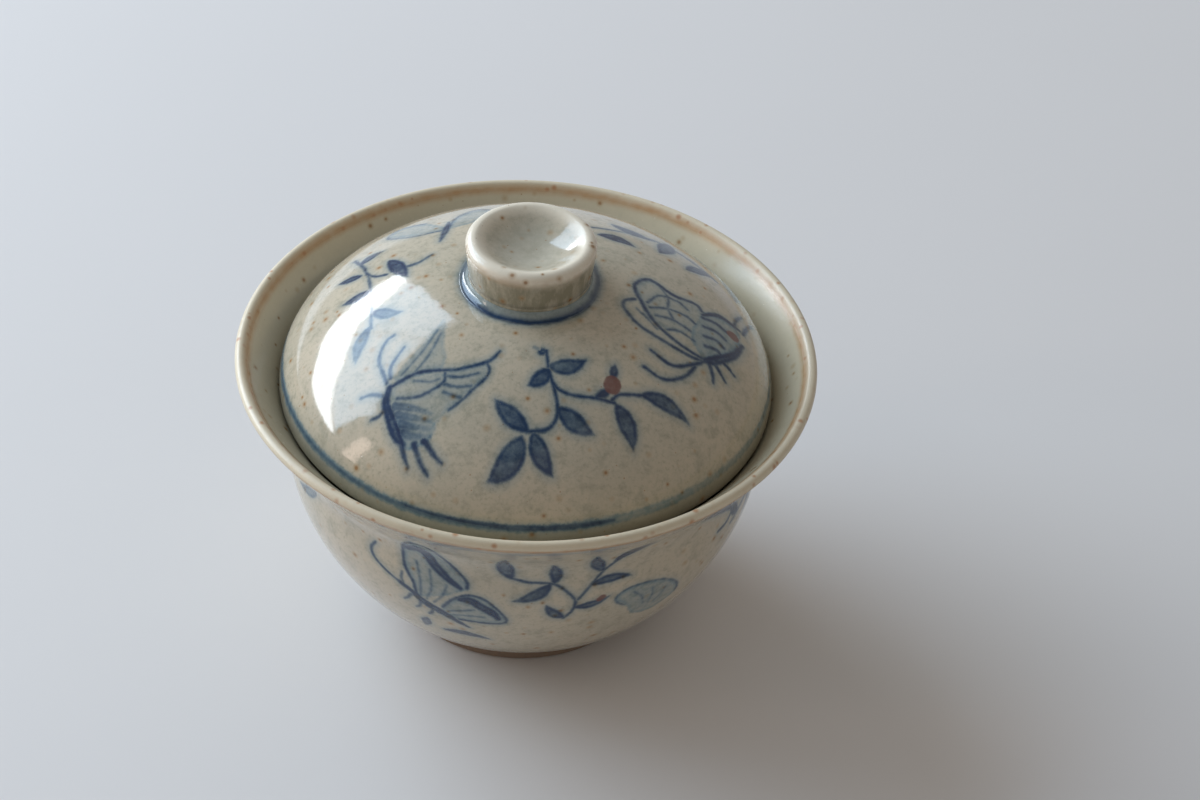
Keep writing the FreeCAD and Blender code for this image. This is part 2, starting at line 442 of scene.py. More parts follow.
def resting_moth():
    """A moth seen from the side with its wings half folded."""
    body = [(-21.3, -20.3), (-21.8, -22.5), (-21, -25), (-20, -27.5), (-18.8, -29.5)]
    front_edge = [(-21, -20.3), (-17, -19.1), (-12.5, -19.5), (-10, -19.6), (-5.8, -18.6), (-4.3, -17)]
    fold = [(-20, -22.5), (-17, -23), (-14.5, -22.4), (-12.8, -21.3), (-12.7, -20)]
    outer_edge = [(-6.2, -18.8), (-5.8, -20.2), (-6.3, -21.5), (-8, -23), (-10, -24.8), (-11.8, -25.9)]
    fore_wing = [
        (-20.8, -20.6), (-13, -19.8), (-6.5, -19), (-7, -22), (-11.5, -25.5), (-14, -28), (-18.5, -29),
    ]
    hind_wing = [
        (-20.2, -23.6), (-16.4, -24.4), (-13.6, -26.4), (-14.6, -29.8), (-18.4, -30.2), (-19.8, -27),
    ]
    far_wing = [
        (-20.5, -19.6), (-18.7, -16.5), (-16, -13.5), (-13.3, -9.8), (-13, -14), (-13.2, -19.2),
    ]
    veins = [
        [(-12.5, -20.5), (-10, -21), (-7.5, -20.6)],
        [(-12.8, -21.8), (-10.6, -22.5), (-8.5, -22.6)],
        [(-12.8, -23), (-11.2, -23.8), (-10, -24.3)],
    ]
    bars = [
        [(-20.3 + 0.5 * i, -23.6 - 1.4 * i), (-17.6, -24.6 - 1.3 * i), (-14.6, -26 - 1.1 * i)]
        for i in range(4)
    ]
    tails = [
        [(-15.5, -29.6), (-13.6, -32), (-12.5, -33)],
        [(-17, -29.8), (-15.8, -32.5), (-14.6, -34)],
        [(-19.1, -29.2), (-18.4, -31), (-17.8, -32.4)],
    ]
    far_veins = [
        [(-19.5, -18.8), (-16.5, -15.5), (-14.2, -11.8)],
        [(-17.5, -18.9), (-15.3, -16.2), (-13.7, -12.6)],
    ]
    legs = [
        [(-22.2, -21.5), (-24, -20.6), (-25.8, -20.4)],
        [(-21.9, -23.8), (-22.9, -24.3), (-24, -24.4)],
    ]
    return [
        stroke(body, [0.9, 1.3, 1.5, 1.5, 0.8]),
        stroke(front_edge, [0.6, 0.55, 0.5, 0.5, 0.6, 0.4], 0.85),
        stroke(fold, 0.45, 0.75),
        stroke(outer_edge, 0.45, 0.75),
        *strokes(veins, 0.4, 0.6),
        stroke([(-17.5, -20.3), (-15, -21), (-13.5, -20.8)], 0.35, 0.5),
        shape(fore_wing, 0.32),
        shape(hind_wing, 0.55),
        *strokes(bars, [1.3, 1, 0.5], (0.6, 0.3)),
        *strokes(tails, [0.9, 0.6, 0.3], 0.8),
        shape(far_wing, 0.4),
        *strokes(far_veins, 0.35, 0.45),
        stroke([(-21.8, -19.5), (-23.3, -15), (-22.4, -11.9), (-21.2, -11)], [0.6, 0.5, 0.45, 0.4], 0.8),
        stroke([(-21.3, -18.8), (-21.3, -16.8), (-19.4, -13.9)], [0.6, 0.5, 0.4], 0.8),
        *strokes(legs, [0.6, 0.5, 0.3], 0.8),
    ]


def flying_bee():
    """A large bee from the side, with veined wings held up behind it."""
    wing = [
        (18, -3.2), (17, 0), (18.5, 3.2), (20.5, 3.5), (24, 1.8), (28, 1), (27.5, -3), (24, -7), (19, -6),
    ]
    body = [(27.8, 0.5), (31, 2), (34, 1.8), (34.6, -1.5), (33, -5.5), (30, -9), (28.2, -9.8), (26, -6)]
    near_edge = [
        (18.3, -3.4), (16.9, 0), (17.3, 2), (18.5, 3.4), (20, 3.7), (23.3, 1.9), (27, 2.1), (28, 1),
    ]
    far_edge = [
        (16.9, -2.5), (15.2, -3.6), (15.4, -5.6), (18, -8.4), (22.5, -10), (26, -10.6), (28.3, -10.3),
    ]
    hind_leg = [(28.5, -10), (27.2, -11.4), (26, -12.3), (24, -13.6), (22.3, -13.8), (19.6, -12.5)]
    long_veins = [
        [(19, -2.4), (21, 0.4), (24, 0.6), (25.6, -0.4)],
        [(19.4, -3.4), (22.4, -2.2), (25.4, -2.2), (26.8, -3)],
        [(20.4, -4.8), (23.2, -4.4), (26, -5.2)],
        [(22.3, -7), (24.2, -6.4), (26.6, -7)],
    ]
    cross_veins = [
        [(21.2, 2.6), (22.4, 0.4), (22.4, -2.2), (23.4, -4.6)],
        [(17.2, -4.6), (19, -6.2), (20.6, -7.8)],
    ]
    legs = [
        [(29.2, -10.3), (29.7, -12), (29.8, -13.5)],
        [(30, -9.6), (31, -10.8), (31.9, -11.9)],
        [(31.3, -8.2), (32.4, -8.8), (33.4, -9.5)],
    ]
    feelers = [[(33.5, 2), (34, 4.4), (35, 6.8)], [(35.1, 1.7), (35.9, 4.5), (37, 7.3)]]
    stripes = [
        [(28.2 + 0.1 * i, -0.6 - 2.1 * i), (30.4, -0.2 - 2.1 * i), (32.3 - 0.35 * i, -0.9 - 2.1 * i)]
        for i in range(4)
    ]
    return [
        shape(wing, 0.35),
        shape(body, 0.62),
        stroke(near_edge, 0.65, 0.85),
        stroke([(18, -3), (20.5, -6.8), (24.5, -9.2), (28.5, -10)], 0.6, 0.85),
        stroke(far_edge, 0.6, 0.8),
        *strokes(long_veins, 0.42, 0.7),
        *strokes(cross_veins, 0.36, 0.6),
        stroke([(28.2, 0.2), (31, 2.3), (34.5, 2)], [0.5, 0.9, 0.6], 0.9),
        stroke([(34.9, -1.5), (33.2, -5.5), (30, -9), (28.5, -10)], [0.6, 1.2, 1.6, 1]),
        stroke([(33.2, -0.7), (33.4, -0.8)], 1.9, 1.0, "iron"),
        stroke(hind_leg, 0.6, 0.9),
        stroke([(26.8, -12.2), (25.4, -14.6), (23.4, -16.3), (21.2, -17), (18.5, -16)], 0.55, 0.9),
        *strokes(legs, [0.8, 0.6, 0.3], 0.9),
        *strokes(feelers, [0.6, 0.5, 0.3], 0.8),
        *strokes(stripes, 0.6, 0.75),
    ]


def side_sprig():
    """A loose twig of narrow leaves."""
    return [
        stroke([(-29, 14), (-27.2, 9.5), (-26.5, 6.8), (-25, 5), (-23.2, 4.5)], 0.5, 0.8),
        stroke([(-26.3, 6.4), (-25.7, 2), (-25.2, -3), (-25, -8)], 0.45, 0.7),
        leaf((-23, 8.8), (-19.8, 2.2), 2.6, 0, (1.0, 1.0)),
        leaf((-27.4, 6.9), (-31.2, 7.6), 1.7),
        leaf((-25.8, 1.5), (-30, 0.4), 2.0, 0.08),
        leaf((-25, -4.2), (-20.2, -6.3), 2.2, -0.1, (0.8, 0.6)),
        leaf((-25.1, -7.5), (-27.1, -14), 2.1, -0.08, (0.7, 0.5)),
        leaf((-27.9, 11), (-24.4, 13.4), 1.8, 0.1),
        stroke([(-20, 5.2), (-18, 5.6), (-16, 7.3)], [0.8, 0.6, 0.4], 0.7),
    ]


def back_sprig():
    """A long twig that follows the lid round behind the knob."""
    return [
        stroke([(10, 17.5), (15, 18.6), (21, 19.6), (26, 17.6), (31, 14.2)], 0.5, 0.7),
        leaf((11, 14.8), (17, 13.4), 2.4, 0.1, (0.9, 1.0)),
        leaf((13.4, 21.4), (20.4, 19.2), 2.3, -0.08, (1.0, 0.8)),
        leaf((22.8, 20.6), (21.2, 14.6), 3.0, 0.06, (0.9, 1.0)),
        leaf((25.8, 12.4), (30.4, 15.2), 2.3, 0.1, (1.0, 0.9)),
        leaf((32.2, 17.6), (34.2, 11.6), 2.4, 0.1, (1.0, 0.9)),
        leaf((27.6, 21.8), (31.6, 18.6), 2.2, 0.1, (0.8, 0.7)),
    ]


def leafy_sprig():
    """A twig of slim leaves, about twenty millimetres long, from its own origin to the right."""
    return [
        stroke([(0, 0), (5, 1.6), (10, 1.9), (15, 0.8), (20, -1.8)], 0.5, 0.8),
        leaf((2, 0.8), (0.4, 5), 2.0, 0.1),
        leaf((5, 1.6), (8.6, 6), 2.2, -0.1),
        leaf((7, 1.8), (5.2, -3.2), 2.0, 0.1),
        leaf((11, 1.8), (14.8, 5.4), 2.1, 0.08),
        leaf((13, 1.4), (12.6, -3.6), 2.1, -0.08),
        leaf((17, 0), (21.8, 2.2), 2.0, 0.1),
        leaf((20, -1.8), (24.6, -5.4), 2.2, 0.1),
    ]


def pale_butterfly():
    """A butterfly in watery blue with a few darker lines, about fifteen millimetres across."""
    return [
        shape([(0, 0), (-5, 2), (-8, 6), (-5.5, 8.5), (-2, 6.5)], 0.5),
        shape([(0, 0), (3, 4), (7.5, 6.5), (9, 3), (5, 0)], 0.5),
        stroke([(0, -0.4), (-5.4, 1.8), (-8.2, 6), (-5.6, 8.7), (-1.6, 6.2)], 0.4, 0.55),
        stroke([(0.4, 0), (3, 4.2), (7.7, 6.8), (9.2, 3), (5, -0.3)], 0.4, 0.55),
        stroke([(1.4, 3), (-0.4, -0.6), (-2.4, -4)], [0.5, 1.2, 0.4], 0.75),
    ]


def bowl_butterfly():
    """A swallowtail seen from the side, flying up to the left."""
    body = [(-19.1, 28.6), (-17, 27.2), (-15, 25.3), (-12, 23.6), (-8, 20.6)]
    upper_wing = [
        (-16.3, 26.5), (-16.7, 30), (-18, 33), (-18.2, 36), (-17.5, 39),
        (-15.5, 40.6), (-13.3, 40), (-11.5, 37.6), (-8.2, 33.2), (-8.2, 31),
    ]
    upper_edge = [
        (-16.3, 26.5), (-16.7, 30), (-18, 33), (-18.2, 36), (-17.5, 39),
        (-15.5, 41), (-13.3, 40.6), (-11.5, 38.2), (-8, 33.5), (-7.8, 31.8),
    ]
    upper_border = [(-17.2, 38), (-15.5, 39), (-14.1, 38.2), (-13.2, 36), (-11.8, 34), (-8.9, 31.5)]
    lower_wing = [
        (-12.3, 25.3), (-10.3, 28.2), (-8.5, 29.8), (-6.5, 30.3),
        (-4.2, 29), (-1.8, 25), (-3, 23.5), (-9.5, 22.9),
    ]
    lower_edge = [
        (-12, 25.5), (-10.3, 28.2), (-8.5, 29.8), (-6.5, 30.3),
        (-4.2, 29), (-1.7, 25), (-3, 23.3), (-9.5, 22.8),
    ]
    lower_border = [(-9, 28.7), (-7.3, 28.9), (-5.5, 27.6), (-3.9, 26.4), (-2.9, 24.8)]
    legs = [
        [(-17.4, 26.4), (-18.2, 25), (-19, 24.1)],
        [(-15.8, 25.2), (-16.2, 23.8), (-17, 22.9)],
        [(-13.8, 24), (-14.2, 22.8), (-14.8, 22)],
    ]
    upper_veins = [
        [(-15.6, 27), (-15.4, 31), (-16, 35)],
        [(-14.6, 26.6), (-13.6, 30), (-13.8, 34)],
        [(-13.4, 26.2), (-11.8, 28.8), (-11, 31.6)],
    ]
    lower_veins = [[(-11, 24.8), (-8.6, 25.8), (-6.8, 26.6)], [(-10.2, 24), (-7.4, 24.6), (-5.2, 24.8)]]
    return [
        stroke([(-23.3, 35.5), (-24.3, 33.6), (-23.8, 31.9), (-22, 30.3), (-19.3, 28.6)], 0.45, 0.85),
        stroke([(-18.6, 31.4), (-18.8, 30), (-18.4, 28.4)], 0.4, 0.6),
        stroke(body, [0.9, 1.1, 1.6, 1.5, 0.4]),
        *strokes(legs, [0.6, 0.5, 0.3], 0.8),
        shape(upper_wing, 0.5),
        stroke(upper_edge, 0.5, 0.9),
        stroke(upper_border, [1, 1.8, 1.9, 1.8, 1.6, 0.8]),
        *strokes(upper_veins, 0.35, 0.5),
        shape(lower_wing, 0.5),
        stroke(lower_edge, 0.45, 0.85),
        stroke(lower_border, [0.8, 1.6, 1.7, 1.6, 0.8]),
        *strokes(lower_veins, 0.35, 0.5),
    ]


def bowl_sprig():
    """Two twigs of leaves that cross."""
    twig = [(-1.2, 35.4), (1.6, 34.5), (5.5, 33.9), (8, 31.4), (9, 29.3), (8.7, 27), (7.4, 25)]
    return [
        leaf((-0.9, 35.3), (-1.9, 41.6), 2.7, 0.1),
        leaf((5.5, 34), (5, 39.4), 2.1, -0.08),
        leaf((5, 34.1), (-0.7, 30), 2.4, 0.12),
        leaf((13.2, 35.6), (11.2, 41.2), 2.2, 0.08),
        leaf((14.6, 37.8), (20.4, 41.1), 2.0, 0.12),
        leaf((11.2, 32.8), (18, 32.9), 1.9, 0.1),
        leaf((8.8, 27.9), (14.6, 29.3), 1.7, -0.1),
        stroke([(12.9, 28.9), (13.5, 29.4)], 1.1, 0.8, "iron"),
        leaf((7.6, 25.3), (4.5, 29), 2.0, 0.1),
        stroke(twig, 0.48, 0.85),
        stroke([(15.6, 38.4), (13.1, 35.6), (11, 32.3), (9.4, 29.8)], 0.45, 0.85),
    ]


def round_flower():
    """A round pale bloom with a few petals drawn into it."""
    ring = [
        (17.5, 25.6), (16, 27), (15.8, 28.3), (17, 29.6), (19.5, 30.1), (22.5, 29.5),
        (25.5, 28), (28, 25.3), (28.6, 22.6), (25, 20.4), (20.4, 21.2),
    ]
    petals = [
        [(19, 28.4), (20.6, 26.4), (21.4, 24)],
        [(22.4, 27.8), (22.8, 25.8), (22.6, 23.6)],
        [(25.4, 26), (24.8, 24.6), (23.8, 23)],
    ]
    return [shape(ring, 0.6), stroke(ring[:9], 0.4, 0.5), *strokes(petals, 0.35, 0.4)]


def lid_marks():
    """All that is painted on the lid, seen from above with the front at the bottom."""
    return [
        *fruiting_sprig(),
        *resting_moth(),
        *flying_bee(),
        *side_sprig(),
        *moved(pale_butterfly(), (-14, 16), 20),
        *back_sprig(),
    ]


def ring_marks():
    """The blue ring low on the lid: millimetres round from the front, and up from the edge."""
    return [
        stroke([(x, 2.9 + 0.15 * math.sin(x / 11)) for x in range(-126, 31, 6)], 1.5, (0.9, 0.5), "wash"),
        stroke([(x, 2.9 + 0.15 * math.sin(x / 11)) for x in range(30, 126, 6)], 1.3, (0.35, 0.8), "wash"),
        stroke([(x, 2.9 + 0.12 * math.sin(x / 11)) for x in range(-118, 17, 5)], 0.6, 0.45),
        stroke([(x, 3.0) for x in range(-20, 16, 5)], [0.3, 0.7, 0.8, 0.9, 0.9, 0.9, 0.8, 0.5], 0.7),
        stroke([(x, 3.0 + 0.12 * math.sin(x / 9)) for x in range(50, 122, 6)], 0.6, (0.2, 0.5)),
    ]


def bowl_marks():
    """All that is painted on the bowl: millimetres round from the front, and height."""
    front = [*bowl_butterfly(), *bowl_sprig(), *round_flower()]
    side = [
        leaf((29.5, 39.6), (40, 33.8), 2.3, 0.1),
        stroke([(36, 32), (38, 32.2), (39.5, 33.4)], 0.5, 0.8),
        leaf((-37, 36.5), (-44, 33), 2.0, 0.1, (0.5, 0.5)),
        leaf((-15.5, 20), (-16.8, 16.5), 1.8),
        leaf((-13, 17.2), (-4.5, 16.8), 1.6, 0.1),
    ]
    return [
        *front,
        *side,
        *moved(leafy_sprig(), (40, 31), 8),
        *moved(pale_butterfly(), (78, 29), -15, 1.2),
        *moved(leafy_sprig(), (92, 34), -20),
        *moved(bowl_sprig(), (-60, 1), 0, mirrored=True),
        *moved(bowl_butterfly(), (-92, 0)),
        stroke([(x, 46 + 0.15 * math.sin(x / 7)) for x in range(-119, 121, 6)], 0.8, 0.32, "wash"),
    ]


# ---- shader nodes --------------------------------------------------------------------------
class Value:
    """A number from a shader node. Arithmetic on it adds Math nodes."""

    def __init__(self, shader, socket):
        self.shader = shader
        self.socket = socket

    def with_math(self, operation, first, second=0.0):
        return self.shader.node("ShaderNodeMath", {"operation": operation}, {0: first, 1: second})

    def __add__(self, other):
        return self.with_math("ADD", self, other)

    def __sub__(self, other):
        return self.with_math("SUBTRACT", self, other)

    def __rsub__(self, other):
        return self.with_math("SUBTRACT", other, self)

    def __mul__(self, other):
        return self.with_math("MULTIPLY", self, other)

    def __truediv__(self, other):
        return self.with_math("DIVIDE", self, other)

    def __pow__(self, other):
        return self.with_math("POWER", self, other)

    def __abs__(self):
        return self.with_math("ABSOLUTE", self)

    def above(self, other):
        return self.with_math("GREATER_THAN", self, other)

    def smaller(self, other):
        return self.with_math("MINIMUM", self, other)

    __radd__ = __add__
    __rmul__ = __mul__


class Shader:
    """A material's node tree, and the patterns that the glazes are made from."""

    def __init__(self, name):
        self.material = bpy.data.materials.new(name)
        self.material.use_nodes = True
        self.tree = self.material.node_tree
        self.tree.nodes.clear()
        held = self.node("ShaderNodeTexCoord", output="Object")
        # patterns are in millimetres
        self.place = self.node("ShaderNodeMapping", inputs={"Vector": held, "Scale": (1000, 1000, 1000)})
        apart = self.node("ShaderNodeSeparateXYZ", inputs={0: self.place})
        self.x, self.y, self.height = self.outputs(apart)
        self.radius = (self.x * self.x + self.y * self.y) ** 0.5

    def node(self, kind, settings=None, inputs=None, output=0):
        """Adds a node, sets it up, fills its sockets and gives one of its outputs, if it has any."""
        made = self.tree.nodes.new(kind)
        for name, setting in (settings or {}).items():
            setattr(made, name, setting)
        for name, value in (inputs or {}).items():
            if isinstance(value, Value):
                self.tree.links.new(value.socket, made.inputs[name])
            elif isinstance(made.inputs[name].default_value, float):
                made.inputs[name].default_value = value
            else:
                held = made.inputs[name].default_value
                held[: len(value)] = value
        return Value(self, made.outputs[output]) if len(made.outputs) else None

    def outputs(self, value):
        """All the outputs of the node that a value comes from."""
        return [Value(self, socket) for socket in value.socket.node.outputs]

    def attribute(self, name):
        return self.node("ShaderNodeAttribute", {"attribute_name": name}, output="Fac")

    def noise(self, grain, detail=2.0, stretch=(1, 1, 1), roughness=0.5):
        """Soft noise from 0 to 1 with features of about the given size in millimetres."""
        where = self.place
        if stretch != (1, 1, 1):
            where = self.node("ShaderNodeMapping", inputs={"Vector": self.place, "Scale": stretch})
        return self.node(
            "ShaderNodeTexNoise",
            inputs={"Vector": where, "Scale": 1 / grain, "Detail": detail, "Roughness": roughness},
        )

    def ramp(self, value, low, high):
        """0 where value is at low, 1 at high, and smooth between."""
        return self.node(
            "ShaderNodeMapRange",
            {"interpolation_type": "SMOOTHSTEP"},
            {"Value": value, "From Min": low, "From Max": high},
        )

    def band(self, value, low, high, soft):
        """1 where value is between low and high, with soft edges."""
        return self.ramp(value, low - soft, low + soft) * (1 - self.ramp(value, high - soft, high + soft))

    def mix(self, amount, under, over, blend="MIX"):
        """One colour laid over another."""
        return self.node(
            "ShaderNodeMix",
            {"data_type": "RGBA", "blend_type": blend},
            {0: amount, 6: self.full(under), 7: self.full(over)},
            output=2,
        )

    @staticmethod
    def full(shade):
        return shade if isinstance(shade, Value) else (*shade[:3], 1.0)

    def spots(self, spacing, radius, soft, keep, shift=0.0):
        """Round spots of random size, some of them left out, and how near each place is to one."""
        where = self.node("ShaderNodeMapping", inputs={"Vector": self.place, "Location": (shift,) * 3})
        cells = self.node("ShaderNodeTexVoronoi", inputs={"Vector": where, "Scale": 1 / spacing})
        distance, chance = self.outputs(cells)[:2]
        gap = distance * spacing
        lot, wide = self.outputs(self.node("ShaderNodeSeparateColor", inputs={0: chance}))[:2]
        size = radius * (0.45 + 0.55 * wide)
        return (1 - self.ramp(gap / size, 1 - soft, 1 + soft)) * lot.above(1 - keep)

    def finish(self, **inputs):
        """Ends the tree in one glossy surface."""
        sockets = {name.replace("_", " "): value for name, value in inputs.items()}
        return self.end(self.node("ShaderNodeBsdfPrincipled", inputs=sockets))

    def end(self, surface):
        self.node("ShaderNodeOutputMaterial", inputs={"Surface": surface})
        return self.material


# ---- glazes --------------------------------------------------------------------------------
def speckled(s, look, tone, rust=1.0):
    """Iron spots of three sizes over a glaze."""
    fine = s.spots(1.5, 0.13, 0.5, 0.5 * rust)
    tone = s.mix(fine * 0.65, tone, look.rust)
    halo = s.spots(2.8, 0.66, 0.65, 0.8 * rust, 40)
    tone = s.mix(halo * 0.5, tone, (0.36, 0.21, 0.08))
    freckle = s.spots(2.8, 0.36, 0.5, 0.8 * rust, 40)
    tone = s.mix(freckle * 0.75, tone, look.rust)
    core = s.spots(5.6, 0.26, 0.4, 0.4 * rust, 90)
    return s.mix(core * 0.85, tone, look.iron)


def glaze_surface(s, look, tone, dry=0.0):
    """The gloss of a fired glaze with faint ripples and pinholes, duller where it is dry."""
    pits = s.spots(1.9, 0.13, 0.6, 0.45, 15)
    height = s.noise(9, 1.5) * 0.08 + s.noise(2.4, 2) * 0.016 + s.noise(0.9, 2) * 0.008 - pits * 0.03
    bump = s.node("ShaderNodeBump", inputs={"Height": height, "Distance": mm, "Strength": 1.0})
    rough = look.gloss + s.noise(5, 3) * 0.05 + pits * 0.3 + dry * (0.12 + 0.16 * s.noise(2, 3))
    return s.finish(Base_Color=tone, Roughness=rough, Normal=bump, IOR=1.6)


def brushed(s, look, tone):
    """Cobalt under the glaze: watery washes, then full strokes that pool at their edges."""
    warp = (s.noise(1.3, 3) - 0.5) * 0.7 + (s.noise(0.35, 2) - 0.5) * 0.3
    streak = s.noise(1.2, 4, roughness=0.6)
    wash = s.attribute("wash") + warp * 1.2
    wet = s.ramp(wash, -0.35, 0.4) * (0.8 + 0.35 * (1 - s.ramp(wash, 0.2, 1.1)))
    wet = wet * s.attribute("wash_load") * (0.7 + 1.5 * streak)
    tone = s.mix(wet.smaller(1.0), tone, look.watery, "MULTIPLY")
    ink = s.attribute("ink") + warp * 0.5
    load = s.attribute("ink_load")
    bleed = s.ramp(ink, -1.5, 0.15) * load * 0.6
    tone = s.mix(bleed, tone, look.watery, "MULTIPLY")
    body = s.ramp(ink, -0.36, 0.3)
    pool = 1 - s.ramp(abs(ink - 0.25), 0.12, 0.5)
    uneven = 0.72 + 0.6 * s.noise(4, 2)
    density = load * uneven * (0.74 + 0.22 * pool + 0.9 * (streak - 0.5))
    tone = s.mix(body * s.ramp(density, 0.0, 0.5) * 0.8, tone, look.watery, "MULTIPLY")
    tone = s.mix(body * s.ramp(density, 0.05, 1.0), tone, look.cobalt, "MULTIPLY")
    iron = s.ramp(s.attribute("iron") + warp * 0.5, -0.2, 0.2) * (0.65 + 0.5 * streak)
    return s.mix(iron.smaller(0.92), tone, (0.15, 0.055, 0.045))


def clouded(s, look):
    """The plain glaze, lighter and darker in soft patches and full of fine grain."""
    drift = s.noise(16, 3)
    tone = s.mix(s.ramp(drift, 0.35, 0.68) * 0.6, look.body, look.thin)
    mottle = s.noise(2.4, 4, roughness=0.65)
    tone = s.mix(s.ramp(mottle, 0.46, 0.7) * 0.55, tone, look.deep)
    grain = s.noise(0.65, 4, roughness=0.7)
    tone = s.mix(s.ramp(grain, 0.48, 0.78) * 0.7, tone, look.deep)
    return s.mix(s.ramp(grain, 0.5, 0.25) * 0.5, tone, look.thin)


def bowl_glaze(look):
    s = Shader("painted_bowl_glaze")
    along = s.attribute("along")
    tone = clouded(s, look)
    inside = s.ramp(along, 0.8, 3.0)
    # The inside is painted a lighter copy of the glaze: painted light from the window falling on the
    # inner wall.
    tone = s.mix(inside * 0.8, tone, (0.60, 0.535, 0.385))
    # The outside is darkened towards the foot with the deep glaze colour: painted shade where the belly
    # turns under towards the table.
    tone = s.mix((1 - s.ramp(s.height, 4, 14)) * (1 - inside) * 0.75, tone, look.deep)
    under_lip = s.band(along, -4.6, -1.7, 0.9) * 0.5
    tone = s.mix(under_lip, tone, (0.42, 0.39, 0.36))
    tone = speckled(s, look, tone)
    tone = brushed(s, look, tone)
    unrest = (s.noise(3, 3) - 0.5) * 1.1
    # The lip is painted light cream: thin glaze over the rim, and partly painted light on its upturned
    # top.
    lip = s.band(along + unrest * 0.4, -1.15, 1.9, 0.35)
    tone = s.mix(lip * 0.75, tone, (0.68, 0.59, 0.43))
    for low, high, soft, depth in ((-2.0, -1.2, 0.5, 1.2), (1.5, 2.7, 0.8, 0.9)):
        line = s.band(along + unrest * 0.5, low, high, soft) * (0.4 + 0.9 * s.noise(2.2, 3)) * depth
        tone = s.mix(line.smaller(1.0), tone, (0.46, 0.25, 0.10))
    rust = s.spots(1.9, 0.5, 0.7, 0.6, 7) * s.band(along, -2.6, 2.4, 0.5)
    tone = s.mix(rust * 0.8, tone, (0.40, 0.17, 0.06))
    worn = s.band(along, -1.9, 2.2, 0.5) * 1.5 + s.band(along, 2.4, 9, 1.2) * 0.7
    return glaze_surface(s, look, tone, worn)


def lid_glaze(look):
    s = Shader("painted_lid_glaze")
    along = s.attribute("along")
    tone = clouded(s, look)
    tone = s.mix((1 - s.ramp(along, 1.2, 4.2)) * 0.55, tone, look.deep)
    tone = speckled(s, look, tone)
    tone = brushed(s, look, tone)
    return glaze_surface(s, look, knob_band(s, look, tone))


def knob_band(s, look, tone):
    """Blue round the foot of the knob, fullest at the front."""
    reach = s.radius + (s.noise(2, 3) - 0.5) * 0.7
    front = 1 - s.ramp(s.y, -11, 6)
    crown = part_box("lid_knob")[0].z / mm
    outside = s.ramp(s.height, crown - 2, crown - 1)
    wide = (1 - s.ramp(reach - front * 0.3, 10.9, 12.7)) * outside
    tone = s.mix(wide * 0.85, tone, look.watery, "MULTIPLY")
    full = s.band(reach - front * 0.2, 10.3, 11.35, 0.5) * (0.6 + 0.5 * front) * outside
    full = full * (0.7 + 0.5 * s.noise(2.5, 3))
    return s.mix(full.smaller(1.0), tone, look.cobalt, "MULTIPLY")


def fillet_glaze(look):
    s = Shader("blue_fillet_glaze")
    tone = clouded(s, look)
    return glaze_surface(s, look, knob_band(s, look, tone))


def knob_glaze(look):
    s = Shader("knob_glaze")
    bottom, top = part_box("lid_knob")
    rise = s.height - bottom.z / mm
    full = (top.z - bottom.z) / mm
    tone = clouded(s, look)
    streaks = s.noise(1.5, 4, (1, 1, 0.3), 0.65)
    neck = 1 - s.ramp(rise + (s.noise(3, 2) - 0.5) * 2, 5.4, full - 1.2)
    tone = s.mix(neck * (0.35 + 0.75 * s.ramp(streaks, 0.35, 0.65)), tone, (0.27, 0.245, 0.17))
    in_dish = (1 - s.ramp(s.radius, 2.5, 8.6)) * s.ramp(rise, full - 3.6, full - 2.6)
    tone = s.mix(in_dish * 0.7, tone, (0.50, 0.475, 0.39))
    rim = s.band(rise, full - 1.6, full + 1, 0.6) * s.ramp(s.radius, 6.6, 8.8)
    tone = s.mix(rim * 0.8, tone, (0.80, 0.73, 0.60))
    tan = s.band(rise, full - 2.2, full - 0.7, 0.5) * s.ramp(s.noise(4, 3), 0.42, 0.62)
    tan = tan * s.ramp(s.radius, 9, 9.8)
    tone = s.mix(tan * 0.35, tone, (0.42, 0.26, 0.14))
    tone = speckled(s, look, tone, 1.8)
    return glaze_surface(s, look, tone, rim * 0.8)


def bare_clay(look):
    s = Shader("bare_clay")
    grit = s.noise(0.7, 5, roughness=0.7)
    rings = s.noise(0.5, 2, (0.12, 0.12, 1))
    tone = s.mix(grit * 0.6, look.clay, (0.34, 0.22, 0.14))
    tone = s.mix(s.spots(1.8, 0.25, 0.4, 0.4) * 0.6, tone, look.iron)
    height = grit * 0.06 + rings * 0.05
    bump = s.node("ShaderNodeBump", inputs={"Height": height, "Distance": mm, "Strength": 0.8})
    return s.finish(Base_Color=tone, Roughness=0.62 + 0.25 * grit, Normal=bump)


# ---- operators -----------------------------------------------------------------------------
def finish_piece(piece, body, node, material):
    """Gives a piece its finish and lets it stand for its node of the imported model."""
    unwrap(piece)
    piece.data.materials.append(material)
    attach(piece, body)
    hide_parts(node)


